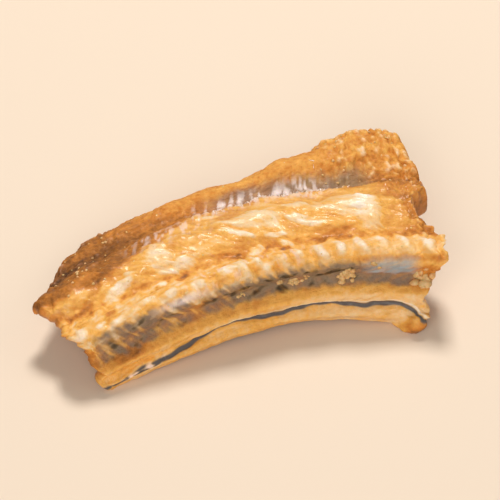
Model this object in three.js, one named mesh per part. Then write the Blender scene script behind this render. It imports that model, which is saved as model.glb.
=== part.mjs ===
import * as THREE from "three";

// A crispy eel snack: one cut length of an opened, dried and fried eel fillet.
// It is a thick strip that curled into a shallow arch, with an open channel underneath.
// Along it run the bands of the fish: a back band, a broad crown, the crimped fin ridge,
// a recess where the dark skin shows, an inner fold and a thin hem at the front.
// Sizes are in millimetres. X runs along the strip, Y across it to the back edge, Z is up.

// The strip's section, from the back foot over the top to the front foot.
// left, middle, right: the rail's place as [y, z] at the two ends of the span and between;
// wall: flesh between the rail and the channel underneath;
// from, to: where the cut ends cross the rail.
const RAILS = [
  { name: "back foot", left: [8.0, -0.6], middle: [11.2, 1.2], right: [13.0, -0.1],
    wall: 2.2, from: -20.4, to: 24.4 },
  { name: "back flank", left: [9.2, 2.0], middle: [12.4, 4.6], right: [14.1, 3.8],
    wall: 3.2, from: -20.9, to: 24.6 },
  { name: "back crest", left: [6.9, 3.8], middle: [10.4, 7.9], right: [12.4, 8.1],
    wall: 3.9, from: -21.4, to: 25.2 },
  { name: "back shoulder", left: [5.0, 5.8], middle: [8.6, 9.0], right: [8.4, 9.4],
    wall: 4.0, from: -23.8, to: 25.9 },
  { name: "back groove", left: [1.4, 6.6], middle: [6.4, 8.3], right: [2.6, 8.3],
    wall: 2.9, from: -28.2, to: 25.6 },
  { name: "crown rise", left: [-0.4, 7.8], middle: [3.2, 10.2], right: [-0.8, 9.9],
    wall: 3.9, from: -31.1, to: 25.2 },
  { name: "crown crest", left: [-2.4, 8.7], middle: [-0.8, 11.5], right: [-4.8, 10.8],
    wall: 4.6, from: -31.0, to: 23.2 },
  { name: "crown front", left: [-4.8, 8.4], middle: [-4.0, 11.4], right: [-8.6, 10.9],
    wall: 4.5, from: -30.3, to: 22.6 },
  { name: "fin groove", left: [-7.2, 7.2], middle: [-6.6, 10.4], right: [-12.0, 9.9],
    wall: 3.6, from: -28.7, to: 23.3 },
  { name: "fin crest", left: [-11.0, 7.8], middle: [-9.2, 11.2], right: [-16.0, 10.7],
    wall: 4.4, from: -28.2, to: 23.3 },
  { name: "fin lip", left: [-12.3, 6.7], middle: [-10.9, 9.3], right: [-17.7, 9.7],
    wall: 3.8, from: -28.1, to: 22.9 },
  { name: "skin recess", left: [-12.6, 4.1], middle: [-10.2, 7.2], right: [-17.5, 5.9],
    wall: 2.4, from: -26.8, to: 21.3 },
  { name: "fold crest", left: [-14.6, 2.8], middle: [-12.1, 5.3], right: [-20.0, 4.6],
    wall: 3.2, from: -25.3, to: 19.7 },
  { name: "hem groove", left: [-14.3, 1.6], middle: [-11.8, 3.8], right: [-19.9, 2.6],
    wall: 2.2, from: -25.6, to: 19.0 },
  { name: "hem crest", left: [-15.4, 0.8], middle: [-12.8, 2.6], right: [-21.2, 0.7],
    wall: 2.6, from: -25.8, to: 18.6 },
  { name: "front foot", left: [-15.0, 0.0], middle: [-12.2, 1.8], right: [-20.8, -1.5],
    wall: 1.7, from: -25.4, to: 18.2 },
];
const rail = Object.fromEntries(RAILS.map((r, i) => [r.name, i]));
const LAST_RAIL = RAILS.length - 1;

// The stations stand half a span from the middle, and the rails bend towards them by a
// power of the distance. The flesh is measured towards a core under the crown.
const HALF_SPAN = 26;
const BEND_POWER = 1.7;
const CORE = { left: [-2.4, -0.8], middle: [-0.5, 0.5], right: [-4.4, -0.2] };

// Towards the left cut end the flesh thins to a share of its wall under the crown.
const THIN = { share: 0.5, length: 9, rail: rail["crown front"], rails: 6.5 };

// The fin ridge's crimps: one for each fin ray, wider towards the right end.
const CRIMPS = 19;
const CRIMP_PITCH_RATIO = 1.15;
const CRIMP_DEPTH = 0.7;
const CRIMP_LEAN = -0.25;
const CRIMP_PHASE = 0.25;

// The two swells of the back band, the right one crisp, and the drip at the hem's right end.
const SWELLS = [
  { x: 10.5, half: 9, rail: rail["back crest"] + 0.2, rails: 2.2, height: 1.4 },
  { x: 19.5, half: 7.5, rail: rail["back crest"] + 0.2, rails: 2.2, height: 2.5 },
];
const DRIP = { x: 18.0, half: 3.4, rail: rail["hem crest"], rails: 2.2, height: 0.9 };

// Unevenness: slow lumps all over, pleats on the crown, and teeth along the cut ends.
const UNEVEN_TOP = 0.3;
const UNEVEN_EDGES = 0.14;
const PLEAT_HEIGHT = 0.16;
const TOOTH_LENGTH = 0.8;
const CUT_BULGE = 0.45;
const FOOT_BULGE = 0.5;
const FOOT_SPLAY = 0.2;
const REST_CUT = 0.45;

// The grid: rows along the strip, columns across it, and the rows that round its rim.
const ROWS_PER_CRIMP = 4;
const COLUMNS_PER_RAIL = 2;
const RIM_ROWS = 2;

/** The bell that is 1 at the middle and 0 past half a width from it. */
function bell(distance, half) {
  const share = Math.min(1, Math.abs(distance) / half);
  return (1 - share * share) ** 2;
}

/** A smooth curve through one pair of values of every rail. */
function acrossRails(pair) {
  return new THREE.SplineCurve(RAILS.map((r) => new THREE.Vector2(...pair(r))));
}
const sectionCurves = {
  left: acrossRails((r) => r.left),
  middle: acrossRails((r) => r.middle),
  right: acrossRails((r) => r.right),
};
const cutCurve = acrossRails((r) => [r.from, r.to]);
const wallCurve = acrossRails((r) => [r.wall, 0]);

/** The middle [y, z] carried to x, part of the way towards the left or right station. */
function bent(left, middle, right, x) {
  const share = (Math.abs(x) / HALF_SPAN) ** BEND_POWER;
  const end = x < 0 ? left : right;
  return middle.map((value, i) => value + (end[i] - value) * share);
}

/** The teeth of a cut end at a place across the strip: a few waves, some sharp. */
function tooth(across, phase) {
  const slow = Math.sin(across * 1.35 + phase);
  const sharp = 1 - 2 * Math.abs(Math.sin(across * 1.15 + phase * 2.3));
  const fine = Math.sin(across * 4.1 + phase * 1.7);
  return TOOTH_LENGTH * (0.45 * slow + 0.4 * sharp + 0.25 * fine);
}

/** The share of the length reached after a share of the crimps, as they widen evenly. */
function lengthShare(crimpShare) {
  const widening = CRIMP_PITCH_RATIO - 1;
  return (2 * crimpShare + widening * crimpShare ** 2) / (2 + widening);
}

/** How far a local swelling stands out at a place. */
function swelling(swell, x, across) {
  return swell.height * bell(x - swell.x, swell.half) * bell(across - swell.rail, swell.rails);
}

/** The outward relief at a place: crimps, pleats, slow lumps, swells and drip. */
function relief(x, crimpShare, across) {
  const fromFin = across - rail["fin crest"];
  const turns = CRIMPS * crimpShare + CRIMP_LEAN * fromFin + CRIMP_PHASE;
  const rays = Math.abs(Math.sin(Math.PI * turns));
  const strength = 0.62 + 0.015 * x + 0.2 * Math.sin(0.9 * x) * Math.cos(0.37 * x);
  const crimps = CRIMP_DEPTH * strength * bell(fromFin - 0.3, 1.5) * (rays - 0.6);
  const pleats =
    PLEAT_HEIGHT * bell(across - rail["crown crest"], 2.4) * Math.cos(across * 5.2);
  const slow =
    0.45 * Math.sin(0.42 * x + 1.3 + 0.9 * across) +
    0.35 * Math.sin(0.71 * x - 0.7 - 1.4 * across) +
    0.3 * Math.sin(1.15 * x + 2.1 * across);
  const inside = Math.min(across - rail["back crest"], rail["fin lip"] + 0.5 - across);
  const onTop = THREE.MathUtils.clamp(inside, 0, 1);
  const uneven = THREE.MathUtils.lerp(UNEVEN_EDGES, UNEVEN_TOP, onTop);
  const crags = 0.92 + 0.08 * Math.sin(1.7 * x) * Math.cos(2.6 * across);
  const swells = SWELLS.reduce((sum, swell) => sum + swelling(swell, x, across), 0);
  return crimps + pleats + uneven * slow + swells * crags + swelling(DRIP, x, across);
}

/** The share of the wall that is left at a place, by its distance from the left cut end. */
function wallLeft(fromEnd, across) {
  const near = 1 - THREE.MathUtils.smoothstep(fromEnd, 0, THIN.length);
  return 1 - (1 - THIN.share) * near * bell(across - THIN.rail, THIN.rails);
}

/** The skin side and the channel side of the strip at a share along it and across it. */
function sidesAt(crimpShare, acrossShare) {
  const across = acrossShare * LAST_RAIL;
  const cut = cutCurve.getPoint(acrossShare);
  const from = cut.x + tooth(across, 0.4);
  const to = cut.y + tooth(across, 2.9);
  const x = from + (to - from) * lengthShare(crimpShare);
  const [left, middle, right] = ["left", "middle", "right"].map((station) =>
    sectionCurves[station].getPoint(acrossShare).toArray(),
  );
  const [y, z] = bent(left, middle, right, x);
  const [coreY, coreZ] = bent(CORE.left, CORE.middle, CORE.right, x);
  const reach = Math.hypot(coreY - y, coreZ - z);
  const inward = [(coreY - y) / reach, (coreZ - z) / reach];
  const out = relief(x, crimpShare, across);
  const wall = wallCurve.getPoint(acrossShare).x * wallLeft(x - from, across);
  return {
    skin: new THREE.Vector3(x, y - inward[0] * out, z - inward[1] * out),
    channel: new THREE.Vector3(x, y + inward[0] * wall, z + inward[1] * wall),
  };
}

/**
 * The steps of one direction of the grid, as the share, how far the two sides have
 * opened and how far the rim stands out. The rim is a half round at both ends.
 */
function steps(count) {
  const rim = Array.from({ length: RIM_ROWS }, (_, i) => (i / RIM_ROWS) * (Math.PI / 2));
  const middle = Array.from({ length: count + 1 }, (_, i) => ({
    share: i / count,
    open: 1,
    stand: 0,
  }));
  const ends = (share, sign) =>
    rim.map((angle) => ({ share, open: Math.sin(angle), stand: sign * Math.cos(angle) }));
  return [...ends(0, -1), ...middle, ...ends(1, 1).reverse()];
}

/**
 * The two triangles of a quad. The cut between them starts at the grid's nearest corner,
 * so that no triangle has all its vertices on the rim.
 */
function halves([a, b, c, d], towardsCorner) {
  return towardsCorner ? [a, b, c, a, c, d] : [a, b, d, b, c, d];
}

/** The closed strip: both sides as one grid each, which share the vertices of the rim. */
function stripGeometry() {
  const rows = steps(CRIMPS * ROWS_PER_CRIMP);
  const columns = steps(LAST_RAIL * COLUMNS_PER_RAIL);
  const points = [];
  const skinId = [];
  const channelId = [];
  rows.forEach((row, i) => {
    skinId.push([]);
    channelId.push([]);
    columns.forEach((column, j) => {
      const { skin, channel } = sidesAt(row.share, column.share);
      const middle = skin.clone().add(channel).multiplyScalar(0.5);
      const half = skin.clone().sub(channel).multiplyScalar(0.5 * row.open * column.open);
      middle.x += row.stand * CUT_BULGE;
      middle.y -= column.stand * FOOT_SPLAY;
      middle.z -= Math.abs(column.stand) * FOOT_BULGE;
      const onRim = row.open === 0 || column.open === 0;
      skinId[i].push(points.push(middle.clone().add(half)) - 1);
      channelId[i].push(onRim ? skinId[i][j] : points.push(middle.clone().sub(half)) - 1);
    });
  });
  const faces = [];
  for (let i = 0; i + 1 < rows.length; i++) {
    for (let j = 0; j + 1 < columns.length; j++) {
      const quad = (id) => [id[i][j], id[i + 1][j], id[i + 1][j + 1], id[i][j + 1]];
      const towardsCorner = i < rows.length / 2 === j < columns.length / 2;
      faces.push(...halves(quad(channelId), towardsCorner));
      faces.push(...halves(quad(skinId), towardsCorner).reverse());
    }
  }
  const geometry = new THREE.BufferGeometry().setFromPoints(points);
  geometry.setIndex(faces);
  return geometry;
}

/** Stands the strip on the plane z = 0, its feet worn flat there, over the origin. */
function restOnFloor(geometry) {
  geometry.computeBoundingBox();
  const sink = geometry.boundingBox.min.z + REST_CUT;
  const place = geometry.getAttribute("position");
  for (let i = 0; i < place.count; i++) {
    place.setZ(i, Math.max(0, place.getZ(i) - sink));
  }
  geometry.computeBoundingBox();
  const centre = geometry.boundingBox.getCenter(new THREE.Vector3());
  geometry.translate(-centre.x, -centre.y, 0);
  geometry.computeVertexNormals();
  return geometry;
}

const friedFlesh = new THREE.MeshStandardMaterial({
  color: new THREE.Color(0.78, 0.47, 0.16),
  roughness: 0.38,
  metalness: 0,
});

const strip = new THREE.Mesh(restOnFloor(stripGeometry()), friedFlesh);
strip.name = "eel_strip";

const snack = new THREE.Group();
snack.name = "crispy_eel_snack";
snack.add(strip);

export default snack;
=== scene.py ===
"""Looks of a crispy eel snack: a cut length of dried and fried eel fillet.

The strip's surface is worked out again from the rails that shape its solid, with far more
points, and carries the fine relief and the tones of fried fish. Loose fin threads, crust
crumbs and beads of oil lie on it. Lengths are millimetres until a mesh is made in metres.
"""

import logging
import math
from dataclasses import dataclass, field
from enum import Enum, IntEnum
from functools import cached_property

import bpy
import numpy as np
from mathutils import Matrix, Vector


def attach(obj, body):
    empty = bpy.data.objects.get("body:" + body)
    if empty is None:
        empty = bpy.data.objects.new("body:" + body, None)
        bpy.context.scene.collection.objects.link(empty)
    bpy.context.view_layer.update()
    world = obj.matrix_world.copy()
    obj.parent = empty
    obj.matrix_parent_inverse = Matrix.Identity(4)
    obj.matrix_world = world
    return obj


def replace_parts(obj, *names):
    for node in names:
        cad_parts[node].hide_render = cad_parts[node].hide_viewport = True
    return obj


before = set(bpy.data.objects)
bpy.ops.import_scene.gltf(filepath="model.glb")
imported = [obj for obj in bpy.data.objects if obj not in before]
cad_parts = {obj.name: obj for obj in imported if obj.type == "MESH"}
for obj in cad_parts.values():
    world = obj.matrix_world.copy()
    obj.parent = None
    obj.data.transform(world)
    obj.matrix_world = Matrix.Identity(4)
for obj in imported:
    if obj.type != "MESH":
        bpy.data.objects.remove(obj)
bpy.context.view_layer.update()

Array = np.ndarray
MM = 0.001
LOG = logging.getLogger("eel_snack")


class Band(IntEnum):
    """The rails of the strip, numbered from the back foot over the top to the front foot."""

    BACK_FOOT = 0
    BACK_FLANK = 1
    BACK_CREST = 2
    BACK_SHOULDER = 3
    BACK_GROOVE = 4
    CROWN_RISE = 5
    CROWN_CREST = 6
    CROWN_FRONT = 7
    FIN_GROOVE = 8
    FIN_CREST = 9
    FIN_LIP = 10
    SKIN_RECESS = 11
    FOLD_CREST = 12
    HEM_GROOVE = 13
    HEM_CREST = 14
    FRONT_FOOT = 15


class Side(Enum):
    """The two sides of the strip."""

    SKIN = "skin"
    CHANNEL = "channel"


@dataclass(frozen=True)
class Rail:
    """One line along the strip: its [y, z] at three stations, its flesh and its cut ends."""

    left: tuple[float, float]
    middle: tuple[float, float]
    right: tuple[float, float]
    wall: float
    start: float
    stop: float


RAILS = {
    Band.BACK_FOOT: Rail((8.0, -0.6), (11.2, 1.2), (13.0, -0.1), 2.2, -20.4, 24.4),
    Band.BACK_FLANK: Rail((9.2, 2.0), (12.4, 4.6), (14.1, 3.8), 3.2, -20.9, 24.6),
    Band.BACK_CREST: Rail((6.9, 3.8), (10.4, 7.9), (12.4, 8.1), 3.9, -21.4, 25.2),
    Band.BACK_SHOULDER: Rail((5.0, 5.8), (8.6, 9.0), (8.4, 9.4), 4.0, -23.8, 25.9),
    Band.BACK_GROOVE: Rail((1.4, 6.6), (6.4, 8.3), (2.6, 8.3), 2.9, -28.2, 25.6),
    Band.CROWN_RISE: Rail((-0.4, 7.8), (3.2, 10.2), (-0.8, 9.9), 3.9, -31.1, 25.2),
    Band.CROWN_CREST: Rail((-2.4, 8.7), (-0.8, 11.5), (-4.8, 10.8), 4.6, -31.0, 23.2),
    Band.CROWN_FRONT: Rail((-4.8, 8.4), (-4.0, 11.4), (-8.6, 10.9), 4.5, -30.3, 22.6),
    Band.FIN_GROOVE: Rail((-7.2, 7.2), (-6.6, 10.4), (-12.0, 9.9), 3.6, -28.7, 23.3),
    Band.FIN_CREST: Rail((-11.0, 7.8), (-9.2, 11.2), (-16.0, 10.7), 4.4, -28.2, 23.3),
    Band.FIN_LIP: Rail((-12.3, 6.7), (-10.9, 9.3), (-17.7, 9.7), 3.8, -28.1, 22.9),
    Band.SKIN_RECESS: Rail((-12.6, 4.1), (-10.2, 7.2), (-17.5, 5.9), 2.4, -26.8, 21.3),
    Band.FOLD_CREST: Rail((-14.6, 2.8), (-12.1, 5.3), (-20.0, 4.6), 3.2, -25.3, 19.7),
    Band.HEM_GROOVE: Rail((-14.3, 1.6), (-11.8, 3.8), (-19.9, 2.6), 2.2, -25.6, 19.0),
    Band.HEM_CREST: Rail((-15.4, 0.8), (-12.8, 2.6), (-21.2, 0.7), 2.6, -25.8, 18.6),
    Band.FRONT_FOOT: Rail((-15.0, 0.0), (-12.2, 1.8), (-20.8, -1.5), 1.7, -25.4, 18.2),
}

STATIONS = ("left", "middle", "right")


def step_up(value: Array, low: float, high: float) -> Array:
    """A smooth step: 0 below low, 1 above high, and 3s^2 - 2s^3 between them."""
    share = np.clip((value - low) / (high - low), 0.0, 1.0)
    return share * share * (3.0 - 2.0 * share)


def bell(distance: Array, half: float) -> Array:
    """The bell (1 - d^2)^2, with d the distance over half a width, and 0 past it."""
    share = np.minimum(1.0, np.abs(distance) / half)
    return (1.0 - share * share) ** 2


def blend(low: Array, high: Array, share: Array) -> Array:
    """The straight mix of two values by a share of 0 to 1."""
    return low + (high - low) * share


@dataclass(frozen=True)
class Curve:
    """A share of 0 to 1 along one coordinate. This plain one is 1 everywhere."""

    def at(self, value: Array) -> Array:
        """The share at each value."""
        return np.ones_like(value)


@dataclass(frozen=True)
class Rise(Curve):
    """A smooth step from 0 at the low value up to 1 at the high one."""

    low: float
    high: float

    def at(self, value: Array) -> Array:
        """The step's height at each value."""
        return step_up(value, self.low, self.high)


@dataclass(frozen=True)
class Fall(Rise):
    """A smooth step from 1 at the low value down to 0 at the high one."""

    def at(self, value: Array) -> Array:
        """The step's height at each value."""
        return 1.0 - super().at(value)


@dataclass(frozen=True)
class Plateau(Curve):
    """A level 1 between two flanks, each a smooth step around its own value."""

    low: float | Array
    high: float
    soft: float

    def at(self, value: Array) -> Array:
        """The plateau's height: a step up around low times a step down around high."""
        half = self.soft / 2
        rise = step_up(value, self.low - half, self.low + half)
        return rise * (1.0 - step_up(value, self.high - half, self.high + half))


@dataclass(frozen=True)
class Hump(Curve):
    """A bell around its middle that reaches half a width to each side."""

    middle: float
    half: float

    def at(self, value: Array) -> Array:
        """The bell's height at each value."""
        return bell(value - self.middle, self.half)


@dataclass(frozen=True)
class Dab:
    """An amount of height or tone, spread by one curve along the strip and one across it."""

    amount: float
    along: Curve = Curve()
    across: Curve = Curve()

    def at(self, x: Array, across: Array) -> Array:
        """The amount at each place: the amount times both curves."""
        return self.amount * self.along.at(x) * self.across.at(across)


@dataclass(frozen=True)
class Wave:
    """One slow wave over the strip: its weight times the sine of its turn at a place."""

    weight: float
    along: float
    across: float
    phase: float

    def at(self, x: Array, across: Array) -> Array:
        """The wave's height at each place."""
        return self.weight * np.sin(self.along * x + self.across * across + self.phase)


@dataclass(frozen=True)
class Grain:
    """Smooth seeded noise on a plane, repeated every `size` cells."""

    seed: int
    size: int = 128
    strength: float = 1.5
    layer_shift: tuple[float, float] = (17.3, -9.1)
    bubble_place: tuple[float, float] = (0.15, 0.85)
    bubble_size: tuple[float, float] = (0.35, 1.0)
    bubble_reach: float = 0.62

    def smooth(self, u: Array, v: Array) -> Array:
        """Gradient noise: random slopes at lattice points, blended by 6f^5 - 15f^4 + 10f^3.

        Args:
            u: first coordinate, in cells.
            v: second coordinate, in cells.

        Returns:
            Noise of about -1 to 1 at each point.
        """
        angles = np.random.default_rng(self.seed).uniform(0, 2 * np.pi, (self.size,) * 2)
        u0, v0 = np.floor(u).astype(int), np.floor(v).astype(int)
        fu, fv = u - u0, v - v0
        eased = [f**3 * (f * (6 * f - 15) + 10) for f in (fu, fv)]
        corner = {}
        for du in (0, 1):
            for dv in (0, 1):
                angle = angles[(u0 + du) % self.size, (v0 + dv) % self.size]
                corner[du, dv] = np.cos(angle) * (fu - du) + np.sin(angle) * (fv - dv)
        near = blend(corner[0, 0], corner[1, 0], eased[0])
        far = blend(corner[0, 1], corner[1, 1], eased[0])
        return self.strength * blend(near, far, eased[1])

    def layered(self, u: Array, v: Array, layers: int) -> Array:
        """Several layers of smooth noise, each half as large and half as strong.

        Args:
            u: first coordinate, in cells of the largest layer.
            v: second coordinate, in cells of the largest layer.
            layers: how many layers are added.

        Returns:
            Noise of about -1 to 1 at each point.
        """
        total = np.zeros_like(u, dtype=float)
        shift_u, shift_v = self.layer_shift
        for layer in range(layers):
            scale = 2.0**layer
            total += self.smooth(u * scale + shift_u * layer, v * scale + shift_v * layer) / scale
        return total / (2.0 - 2.0 ** (1 - layers))

    def domes(self, u: Array, v: Array) -> Array:
        """Round bubbles, one at a random place in each cell: the height sqrt(1 - d^2 / r^2).

        Args:
            u: first coordinate, in cells.
            v: second coordinate, in cells.

        Returns:
            The highest bubble over each point, from 0 to 1.
        """
        rng = np.random.default_rng(self.seed + 1)
        jitter = rng.uniform(*self.bubble_place, (self.size, self.size, 2))
        radius = self.bubble_reach * rng.uniform(*self.bubble_size, (self.size, self.size))
        u0, v0 = np.floor(u).astype(int), np.floor(v).astype(int)
        height = np.zeros_like(u, dtype=float)
        for du in (-1, 0, 1):
            for dv in (-1, 0, 1):
                i, j = (u0 + du) % self.size, (v0 + dv) % self.size
                away = np.hypot(u - (u0 + du + jitter[i, j, 0]), v - (v0 + dv + jitter[i, j, 1]))
                dome = np.sqrt(np.clip(1.0 - (away / radius[i, j]) ** 2, 0.0, 1.0))
                height = np.maximum(height, dome * radius[i, j] / self.bubble_reach)
        return height


@dataclass(frozen=True)
class Grid:
    """A grid over the strip whose edges close as half rounds.

    `share` and `across` are where its points lie, `opened` is how far the two sides have
    parted, and the stands are how far the rims bulge along the strip and across it.
    """

    share: Array
    across: Array
    opened: Array
    stand_along: Array
    stand_across: Array

    @classmethod
    def rimmed(cls, along: Array, over: Array, rim: int) -> "Grid":
        """A grid over open steps from 0 to 1 with half rounds, of `rim` steps, at their ends.

        Args:
            along: the steps along the strip.
            over: the steps across it.
            rim: how many steps each half round has.

        Returns:
            The grid.
        """
        angle = np.arange(rim) / rim * np.pi / 2
        steps, opened, stand = [], [], []
        for flat in (along, over):
            steps.append(np.concatenate([np.zeros(rim), flat, np.ones(rim)]))
            opened.append(np.concatenate([np.sin(angle), np.ones_like(flat), np.sin(angle)[::-1]]))
            stand.append(np.concatenate([-np.cos(angle), np.zeros_like(flat), np.cos(angle)[::-1]]))
        share, across = np.meshgrid(steps[0], steps[1] * Band.FRONT_FOOT, indexing="ij")
        return cls(share, across, np.outer(*opened), stand[0][:, None], stand[1][None, :])


@dataclass(frozen=True)
class StripForm:
    """The strip's main form, the same as the solid's, as a function of two parameters.

    `share` runs along the strip from 0 to 1 by its crimps, and `across` counts the rails.
    """

    half_span: float = 26.0
    bend_power: float = 1.7
    core_left: tuple[float, float] = (-2.4, -0.8)
    core_middle: tuple[float, float] = (-0.5, 0.5)
    core_right: tuple[float, float] = (-4.4, -0.2)
    crimps: int = 19
    pitch_ratio: float = 1.15
    crimp_depth: float = 0.7
    crimp_lean: float = -0.25
    crimp_phase: float = 0.25
    crimp_rails: Hump = Hump(Band.FIN_CREST + 0.3, 1.5)
    thin_share: float = 0.5
    thin_length: float = 9.0
    thin_rails: Hump = Hump(Band.CROWN_FRONT, 6.5)
    swells: tuple[Dab, ...] = (
        Dab(1.4, Hump(10.5, 9.0), Hump(Band.BACK_CREST + 0.2, 2.2)),
        Dab(2.5, Hump(19.5, 7.5), Hump(Band.BACK_CREST + 0.2, 2.2)),
    )
    drip: Dab = Dab(0.9, Hump(18.0, 3.4), Hump(Band.HEM_CREST, 2.2))
    lumps: tuple[Wave, ...] = (
        Wave(0.45, 0.42, 0.9, 1.3),
        Wave(0.35, 0.71, -1.4, -0.7),
        Wave(0.30, 1.15, 2.1, 0.0),
    )
    uneven_top: float = 0.3
    uneven_edge: float = 0.14
    pleat_height: float = 0.16
    pleat_rails: Hump = Hump(Band.CROWN_CREST, 2.4)
    tooth_length: float = 0.8
    tooth_phase_left: float = 0.4
    tooth_phase_right: float = 2.9
    cut_bulge: float = 0.45
    foot_bulge: float = 0.5
    foot_splay: float = 0.2
    rest_cut: float = 0.45
    coarse_rows: int = 76
    coarse_columns: int = 30
    coarse_rim: int = 2

    def through(self, values: list[float], across: Array) -> Array:
        """A Catmull-Rom curve through one value of every rail.

        Args:
            values: the value at each rail, in order.
            across: where to read the curve, counted in rails.

        Returns:
            The curve's value at each place.
        """
        knots = np.array([values[0], *values, values[-1]], dtype=float)
        index = np.clip(np.floor(across).astype(int), 0, len(values) - 2)
        w = across - index
        p0, p1, p2, p3 = (knots[index + i] for i in range(4))
        slope_in, slope_out = (p2 - p0) / 2, (p3 - p1) / 2
        cubic = (2 * p1 - 2 * p2 + slope_in + slope_out) * w**3
        square = (-3 * p1 + 3 * p2 - 2 * slope_in - slope_out) * w**2
        return cubic + square + slope_in * w + p1

    def station(self, name: str, axis: int, across: Array) -> Array:
        """The section's y or z at one of the stations left, middle and right."""
        return self.through([getattr(rail, name)[axis] for rail in RAILS.values()], across)

    def tooth(self, across: Array, phase: float) -> Array:
        """How far the cut end's teeth stand out: a slow wave, sharp folds and a fine wave."""
        slow = np.sin(across * 1.35 + phase)
        sharp = 1.0 - 2.0 * np.abs(np.sin(across * 1.15 + phase * 2.3))
        fine = np.sin(across * 4.1 + phase * 1.7)
        return self.tooth_length * (0.45 * slow + 0.4 * sharp + 0.25 * fine)

    def along(self, share: Array, across: Array) -> Array:
        """The place x of each point: from one cut end to the other, by crimps that widen.

        Args:
            share: the share of the crimps passed.
            across: the place across, in rails.

        Returns:
            x in millimetres, before the strip is centred.
        """
        start = self.through([r.start for r in RAILS.values()], across)
        stop = self.through([r.stop for r in RAILS.values()], across)
        start = start + self.tooth(across, self.tooth_phase_left)
        stop = stop + self.tooth(across, self.tooth_phase_right)
        widening = self.pitch_ratio - 1.0
        length = (2.0 * share + widening * share**2) / (2.0 + widening)
        return blend(start, stop, length)

    def crimp_turns(self, share: Array, across: Array) -> Array:
        """How many crimps are passed at a point, with their lean across the fin ridge."""
        return self.crimps * share + self.crimp_lean * (across - Band.FIN_CREST) + self.crimp_phase

    def relief(self, x: Array, share: Array, across: Array) -> Array:
        """The solid's own relief: crimps, pleats, slow lumps, the back's swells and the drip.

        Args:
            x: the place along, in millimetres.
            share: the share of the crimps passed.
            across: the place across, in rails.

        Returns:
            How far the skin stands out, in millimetres.
        """
        rays = np.abs(np.sin(np.pi * self.crimp_turns(share, across)))
        strength = 0.62 + 0.015 * x + 0.2 * np.sin(0.9 * x) * np.cos(0.37 * x)
        crimps = self.crimp_depth * strength * self.crimp_rails.at(across) * (rays - 0.6)
        pleats = self.pleat_height * self.pleat_rails.at(across) * np.cos(across * 5.2)
        slow = sum(wave.at(x, across) for wave in self.lumps)
        on_top = np.clip(np.minimum(across - Band.BACK_CREST, Band.FIN_LIP + 0.5 - across), 0.0, 1.0)
        uneven = blend(self.uneven_edge, self.uneven_top, on_top)
        crags = 0.92 + 0.08 * np.sin(1.7 * x) * np.cos(2.6 * across)
        swells = sum(swell.at(x, across) for swell in self.swells)
        return crimps + pleats + uneven * slow + swells * crags + self.drip.at(x, across)

    def bent(self, x: Array, left: Array, middle: Array, right: Array) -> Array:
        """A middle value carried to x, by a power of the distance towards an end value."""
        share = (np.abs(x) / self.half_span) ** self.bend_power
        return blend(middle, np.where(x < 0, left, right), share)

    def sides(self, share: Array, across: Array) -> dict[Side, Array]:
        """The skin side and the channel side: the bent section, with relief and wall.

        Args:
            share: the share of the crimps passed.
            across: the place across, in rails.

        Returns:
            The points of each side, with x, y and z on the last axis.
        """
        x = self.along(share, across)
        place, to_core = [], []
        for axis in (0, 1):
            point = self.bent(x, *(self.station(s, axis, across) for s in STATIONS))
            core = self.bent(x, self.core_left[axis], self.core_middle[axis], self.core_right[axis])
            place.append(point)
            to_core.append(core - point)
        reach = np.hypot(*to_core)
        inward = np.stack([np.zeros_like(x), *(way / reach for way in to_core)], axis=-1)
        base = np.stack([x, *place], axis=-1)
        out = self.relief(x, share, across)[..., None]
        near = 1.0 - step_up(x - self.along(np.zeros_like(share), across), 0.0, self.thin_length)
        thinned = 1.0 - (1.0 - self.thin_share) * near * self.thin_rails.at(across)
        wall = (self.through([r.wall for r in RAILS.values()], across) * thinned)[..., None]
        return {Side.SKIN: base - inward * out, Side.CHANNEL: base + inward * wall}

    def shell(self, grid: "Grid") -> dict[Side, Array]:
        """Both sides on a grid: the middle of the wall plus or minus half the open wall.

        Args:
            grid: the steps along and across.

        Returns:
            The points of each side, which meet along the rim of the grid.
        """
        sides = self.sides(grid.share, grid.across)
        middle = (sides[Side.SKIN] + sides[Side.CHANNEL]) / 2
        half = (sides[Side.SKIN] - sides[Side.CHANNEL]) / 2 * grid.opened[..., None]
        middle[..., 0] += self.cut_bulge * grid.stand_along
        middle[..., 1] -= self.foot_splay * grid.stand_across
        middle[..., 2] -= self.foot_bulge * np.abs(grid.stand_across)
        return {Side.SKIN: middle + half, Side.CHANNEL: middle - half}

    def offset(self) -> Array:
        """The move that stands the solid's own coarse grid on the floor, over the origin."""
        steps = (np.linspace(0.0, 1.0, n + 1) for n in (self.coarse_rows, self.coarse_columns))
        coarse = self.shell(Grid.rimmed(*steps, self.coarse_rim))
        points = np.concatenate([side.reshape(-1, 3) for side in coarse.values()])
        low, high = points.min(axis=0), points.max(axis=0)
        centre = (low + high) / 2
        return -np.array([centre[0], centre[1], low[2] + self.rest_cut])


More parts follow.
